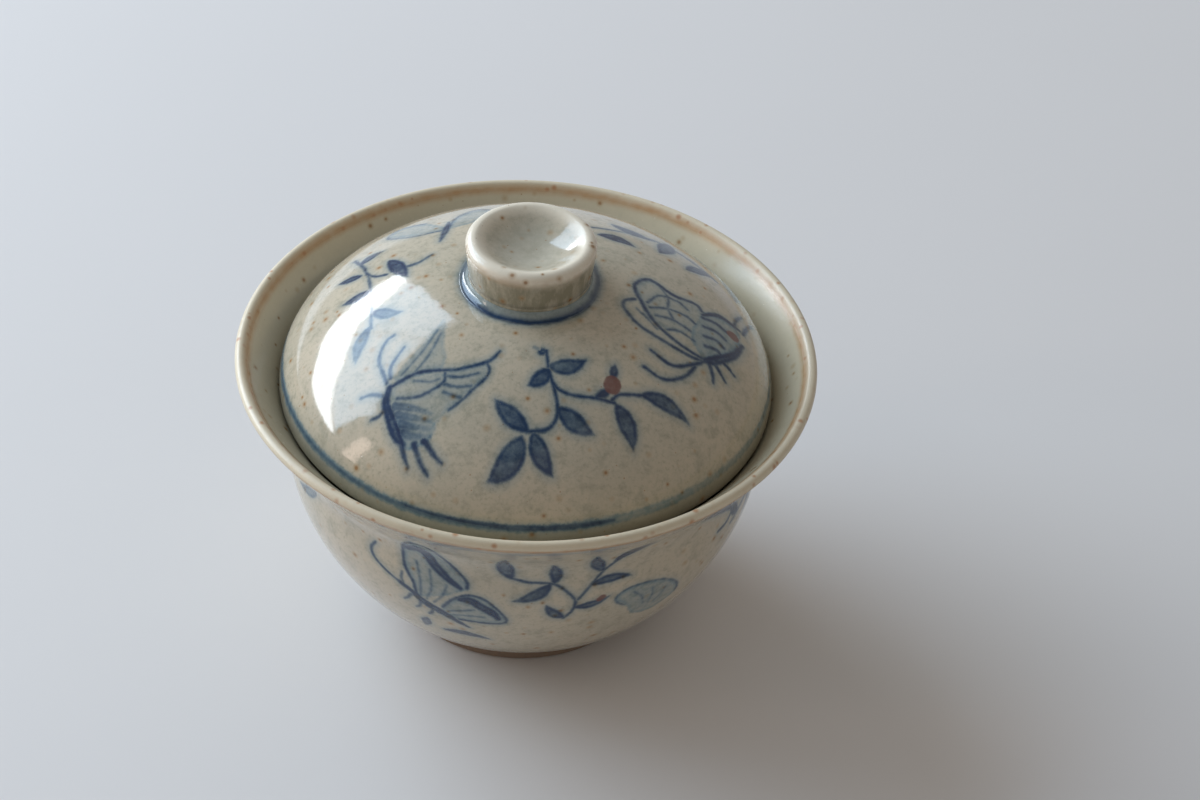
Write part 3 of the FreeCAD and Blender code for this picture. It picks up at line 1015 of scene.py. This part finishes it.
class BowlOperator(Operator):
    """Spin the bowl with its flared lip and paint it"""

    bl_idname = "tea_bowl.bowl"
    bl_label = "Bowl"

    def execute(self, context):
        sizes = context.scene.tea_bowl_sizes
        low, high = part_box("bowl_body")
        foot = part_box("bowl_foot_ring")[1].x
        waist = np.array([sizes.waist_radius, sizes.waist_height])
        belly, belly_way = bend(
            (foot, low.z), (foot + BELLY_OUT, low.z + BELLY_UP), waist - (0, BELLY_WAIST), waist, 60
        )
        up = np.array([math.sin(LIP_LEAN), math.cos(LIP_LEAN)])
        out = np.array([math.cos(LIP_LEAN), -math.sin(LIP_LEAN)])
        half = sizes.lip_wall / 2
        lip = np.array([high.x, high.z]) - half + out * half
        flare, flare_way = bend(waist, waist + (0, FLARE_WAIST), lip - up * FLARE_LIP, lip, 30)
        inner_flare = other_face(flare, flare_way, sizes.waist_wall, sizes.lip_wall)[::-1]
        inner_belly = other_face(belly, belly_way, sizes.belly_wall, sizes.waist_wall)[::-1]
        floor_height = low.z + sizes.floor
        inner_belly = inner_belly[inner_belly[:, 1] > floor_height + sizes.floor_dish]
        slope = inner_belly[-1] - inner_belly[-2]
        slope *= sizes.floor_dish / abs(slope[1])
        edge = inner_belly[-1]
        floor, _ = bend(edge, edge + slope * 0.67, (edge[0] * 0.33, floor_height), (0, floor_height), 16)
        outside = joined(
            spaced(np.array([(0, low.z), (foot, low.z)]), 2 * mm),
            spaced(belly[belly[:, 1] < 12 * mm], 1.3 * mm),
        )
        painted = spaced(joined(belly[belly[:, 1] >= 12 * mm], flare), PAINTED_STEP)
        rim = round_end(lip, inner_flare[0], 12)
        inside = spaced(joined(inner_flare, inner_belly), 1.2 * mm)
        outline = np.vstack([outside, painted, rim[1:], inside[1:], floor[1:]])
        top = len(outside) + len(painted) + 5
        piece = lathe("glazed_bowl", outline, run_of(outline, top), 345)
        paint(piece, self.canvases)
        hand_thrown(piece, (2, 3, 5), 0.0016)
        finish_piece(piece, "bowl", "bowl_body", bowl_glaze(context.scene.tea_bowl_glaze))
        return {"FINISHED"}

    @staticmethod
    def canvases(piece):
        place = places(piece)
        where = np.column_stack([azimuth(place) * BOWL_UNROLL, place[:, 2] / mm])
        where[stored(piece, "along") > -0.5] = NOWHERE
        return [(where, bowl_marks())]


class FootOperator(Operator):
    """Turn the foot ring and leave it unglazed"""

    bl_idname = "tea_bowl.foot"
    bl_label = "Foot ring"

    def execute(self, context):
        sizes = context.scene.tea_bowl_sizes
        low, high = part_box("bowl_foot_ring")
        outer, top = high.x, high.z
        inner = outer - FOOT_TAPER - sizes.foot_width
        edge = sizes.foot_round
        corner = [
            (inner, top),
            (inner, edge),
            (inner + edge * 0.3, edge * 0.3),
            (inner + edge, low.z),
            (outer - FOOT_TAPER - edge, low.z),
            (outer - FOOT_TAPER - edge * 0.3, edge * 0.3),
            (outer - FOOT_TAPER + edge * 0.1, edge),
            (outer, top),
            (inner, top),
        ]
        outline = spaced(np.array(corner), 0.25 * mm)
        outline[-1] = outline[0]
        piece = lathe("turned_foot", outline, run_of(outline, 0), 240)
        finish_piece(piece, "bowl", "bowl_foot_ring", bare_clay(context.scene.tea_bowl_glaze))
        return {"FINISHED"}


class LidOperator(Operator):
    """Spin the domed lid and paint it"""

    bl_idname = "tea_bowl.lid"
    bl_label = "Lid"

    def execute(self, context):
        sizes = context.scene.tea_bowl_lid
        low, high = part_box("lid_dome")
        crown = (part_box("knob_fillet")[1].x, high.z)
        widest = np.array([high.x, low.z + sizes.edge_wall / 2])
        dome, way = bend(widest, widest + (0, LID_SIDE), (crown[0] + LID_CROWN, crown[1]), crown, 80)
        inner = other_face(dome, way, sizes.edge_wall, sizes.crown_wall)
        rim = round_end(inner[0], widest, 14)
        under = np.array([inner[-1], (0, inner[-1][1])])
        over = np.array([crown, (0, crown[1])])
        outside = joined(spaced(dome, PAINTED_STEP), spaced(over, 2 * mm))
        inside = joined(spaced(under[::-1], 2 * mm), spaced(inner[::-1], 1.4 * mm), rim)
        outline = joined(inside, outside)
        piece = lathe("glazed_lid", outline, run_of(outline, len(inside) - 1), 322)
        paint(piece, self.canvases)
        hand_thrown(piece, (2, 3, 4), 0.0012)
        finish_piece(piece, "lid", "lid_dome", lid_glaze(context.scene.tea_bowl_glaze))
        return {"FINISHED"}

    @staticmethod
    def canvases(piece):
        place, along = places(piece), stored(piece, "along")
        plan = place[:, :2] / mm
        ring = np.column_stack([azimuth(place) * LID_UNROLL, along])
        plan[along < 0.5] = NOWHERE
        ring[along < 0.5] = NOWHERE
        return [(plan, lid_marks()), (ring, ring_marks())]


class KnobOperator(Operator):
    """Spin the knob with its rounded rim and dished top"""

    bl_idname = "tea_bowl.knob"
    bl_label = "Knob"

    def execute(self, context):
        sizes = context.scene.tea_bowl_lid
        low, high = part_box("lid_knob")
        neck = np.array([sizes.neck_radius, low.z])
        widest = np.array([high.x - 0.01 * mm, high.z - RIM_DROP])
        slope = (widest - neck) / (widest[1] - neck[1])
        cut = neck + slope * LINE_HEIGHT
        cut_low, cut_high = cut - slope * LINE_WIDTH / 2, cut + slope * LINE_WIDTH / 2
        rim_top = np.array([widest[0] - sizes.rim_width, high.z])
        dish_low = np.array([0, high.z - sizes.dish_depth])
        rim, _ = bend(widest, widest + slope * RIM_OUT, rim_top + (RIM_OUT, 0), rim_top, 10)
        dish, _ = bend(rim_top, rim_top - (DISH_RIM, 0), dish_low + (DISH_FLOOR, 0), dish_low, 26)
        lower = spaced(np.array([neck, cut_low]), 0.4 * mm)
        groove, _ = bend(
            cut_low,
            cut - (LINE_DEPTH * 1.3, LINE_WIDTH * 0.2),
            cut - (LINE_DEPTH * 1.3, -LINE_WIDTH * 0.2),
            cut_high,
            6,
        )
        upper = spaced(np.array([cut_high, widest]), 0.5 * mm)
        base = spaced(np.array([(0, low.z), neck]), 1.5 * mm)
        outline = joined(base, lower, groove, upper, rim, dish)
        piece = lathe("dished_knob", outline, run_of(outline, 0), 300)
        finish_piece(piece, "lid", "lid_knob", knob_glaze(context.scene.tea_bowl_glaze))
        return {"FINISHED"}


class FilletOperator(Operator):
    """Spin the ring of slip that is smoothed in round the knob's foot"""

    bl_idname = "tea_bowl.fillet"
    bl_label = "Fillet"

    def execute(self, context):
        sizes = context.scene.tea_bowl_lid
        low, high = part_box("knob_fillet")
        neck = sizes.neck_radius
        top_in = neck + NECK_LEAN * (high.z - low.z)
        outer = np.array([high.x, low.z + FILLET_EDGE])
        upper = np.array([top_in + FILLET_EDGE, high.z])
        hollow, _ = bend(
            outer,
            outer - ((outer[0] - upper[0]) * QUARTER_ROUND, 0),
            upper - (0, (upper[1] - outer[1]) * QUARTER_ROUND),
            upper,
            16,
        )
        ends = np.array([(neck, low.z), (high.x, low.z)])
        back = np.array([upper, (top_in, high.z), (neck, low.z)])
        outline = joined(spaced(ends, 0.4 * mm), np.array([ends[1], outer]), hollow, back)
        piece = lathe("blue_fillet", outline, run_of(outline, 0), 300)
        finish_piece(piece, "lid", "knob_fillet", fillet_glaze(context.scene.tea_bowl_glaze))
        return {"FINISHED"}


# ---- the stage -----------------------------------------------------------------------------
LIGHTS_MIDDLE = Vector((0, 0, 0.055))
LIGHTS_AWAY = 1.4
CAMERA_PLACE = Vector((0, -0.42256, 0.39222))
CAMERA_AIM = Vector((0.01234, 0, 0.03943))
CAMERA_ROLL = math.radians(3.31)
WHITE, BLUE, WARM = (0.88, 0.94, 1.0), (0.62, 0.8, 1.0), (1.0, 0.8, 0.68)
WALL, CEILING = (1.0, 0.92, 0.84), (0.8, 0.92, 1.0)
# each pane's colour, its brightness for each part of the window's, and its corners' turn and rise
PANES = {
    "low_left": (WHITE, 1.9, [(-89, 11), (-67, 9.5), (-49.3, 12.8), (-49.3, 25.8), (-62, 27), (-74, 22)]),
    "low_right": (WHITE, 1.9, [(-48.7, 12.8), (-27, 18), (-28, 25), (-48.7, 25.8)]),
    "high_left": (
        BLUE,
        0.85,
        [(-88, 14), (-74, 22.6), (-62, 27.6), (-49.3, 26.4), (-49.3, 51), (-69, 47), (-87, 40)],
    ),
    "high_right": (BLUE, 0.85, [(-48.7, 26.4), (-28, 25.6), (-27, 52), (-48.7, 51)]),
    "warm_strip": (WARM, 0.7, [(-105, -1), (-98, 0), (-97, 30), (-104, 30)]),
    "wall": (WALL, 0.05, [(50, 0), (150, 0), (150, 55), (50, 55)]),
    "ceiling": (CEILING, 0.04, [(-170, 58), (-100, 56), (-30, 60), (40, 60), (110, 66)]),
}


def towards(turn, rise):
    """A place at a turn from the back towards the right and a rise, both in degrees."""
    a, e = math.radians(turn), math.radians(rise)
    way = Vector((math.sin(a) * math.cos(e), math.cos(a) * math.cos(e), math.sin(e)))
    return LIGHTS_MIDDLE + way * LIGHTS_AWAY


class StageOperator(Operator):
    """Lay the floor, hang the lights and set up the camera"""

    bl_idname = "tea_bowl.stage"
    bl_label = "Stage"

    def execute(self, context):
        look = context.scene.tea_bowl_stage
        self.floor(look)
        self.world(context.scene, look)
        for name, (shade, share_of_window, corners) in PANES.items():
            self.pane(name, corners, shade, look.window_light * share_of_window)
        self.camera(context.scene, look)
        context.scene.view_settings.view_transform = "Standard"
        return {"FINISHED"}

    def floor(self, look):
        bpy.ops.object.select_all(action="DESELECT")
        bpy.ops.mesh.primitive_plane_add(size=8)
        floor = bpy.context.object
        floor.name = "floor"
        s = Shader("floor")
        tone = s.mix(s.noise(60, 3) * 0.08, look.floor, (0.5, 0.48, 0.46))
        floor.data.materials.append(s.finish(Base_Color=tone, Roughness=0.6))

    def world(self, scene, look):
        world = bpy.data.worlds.new("soft_room")
        world.use_nodes = True
        room = world.node_tree.nodes["Background"]
        room.inputs["Color"].default_value = (1.0, 0.93, 0.86, 1)
        room.inputs["Strength"].default_value = look.room_light
        scene.world = world

    def pane(self, name, corners, shade, strength):
        """A glowing panel whose corners lie in the given directions."""
        mesh = bpy.data.meshes.new(name)
        mesh.from_pydata([towards(*corner) for corner in corners], [], [range(len(corners))])
        panel = bpy.data.objects.new(name, mesh)
        bpy.context.scene.collection.objects.link(panel)
        s = Shader(name)
        glow = s.node("ShaderNodeEmission", inputs={"Color": (*shade, 1), "Strength": strength})
        mesh.materials.append(s.end(glow))
        panel.visible_camera = False

    def camera(self, scene, look):
        lens = bpy.data.cameras.new("camera")
        lens.lens, lens.sensor_width = look.lens, 36
        lens.clip_start, lens.clip_end = 0.05, 20
        camera = bpy.data.objects.new("camera", lens)
        scene.collection.objects.link(camera)
        camera.location = CAMERA_PLACE
        aim = CAMERA_AIM - camera.location
        camera.rotation_mode = "QUATERNION"
        tilt = Quaternion((0, 0, 1), CAMERA_ROLL)
        camera.rotation_quaternion = aim.to_track_quat("-Z", "Y") @ tilt
        scene.camera = camera


class TeaBowlPanel(Panel):
    """The pieces of the tea bowl and the sizes they are made to"""

    bl_idname = "VIEW3D_PT_tea_bowl"
    bl_label = "Tea Bowl"
    bl_space_type = "VIEW_3D"
    bl_region_type = "UI"
    bl_category = "Tea Bowl"

    def draw(self, context):
        for step in STEPS:
            self.layout.operator(step.bl_idname)
        for group in GROUPS:
            box = self.layout.box()
            for name in GROUPS[group].__annotations__:
                box.prop(getattr(context.scene, group), name)


STEPS = (BowlOperator, FootOperator, LidOperator, KnobOperator, FilletOperator, StageOperator)
GROUPS = {
    "tea_bowl_sizes": BowlSizes,
    "tea_bowl_lid": LidSizes,
    "tea_bowl_glaze": GlazeLook,
    "tea_bowl_stage": StageLook,
}


def register():
    for cls in (*GROUPS.values(), *STEPS, TeaBowlPanel):
        bpy.utils.register_class(cls)
    for name, cls in GROUPS.items():
        setattr(bpy.types.Scene, name, PointerProperty(type=cls))


def unregister():
    for name in GROUPS:
        delattr(bpy.types.Scene, name)
    for cls in reversed((*GROUPS.values(), *STEPS, TeaBowlPanel)):
        bpy.utils.unregister_class(cls)


def main():
    register()
    bpy.ops.tea_bowl.bowl()
    bpy.ops.tea_bowl.foot()
    bpy.ops.tea_bowl.lid()
    bpy.ops.tea_bowl.knob()
    bpy.ops.tea_bowl.fillet()
    bpy.ops.tea_bowl.stage()


if __name__ == "__main__":
    main()
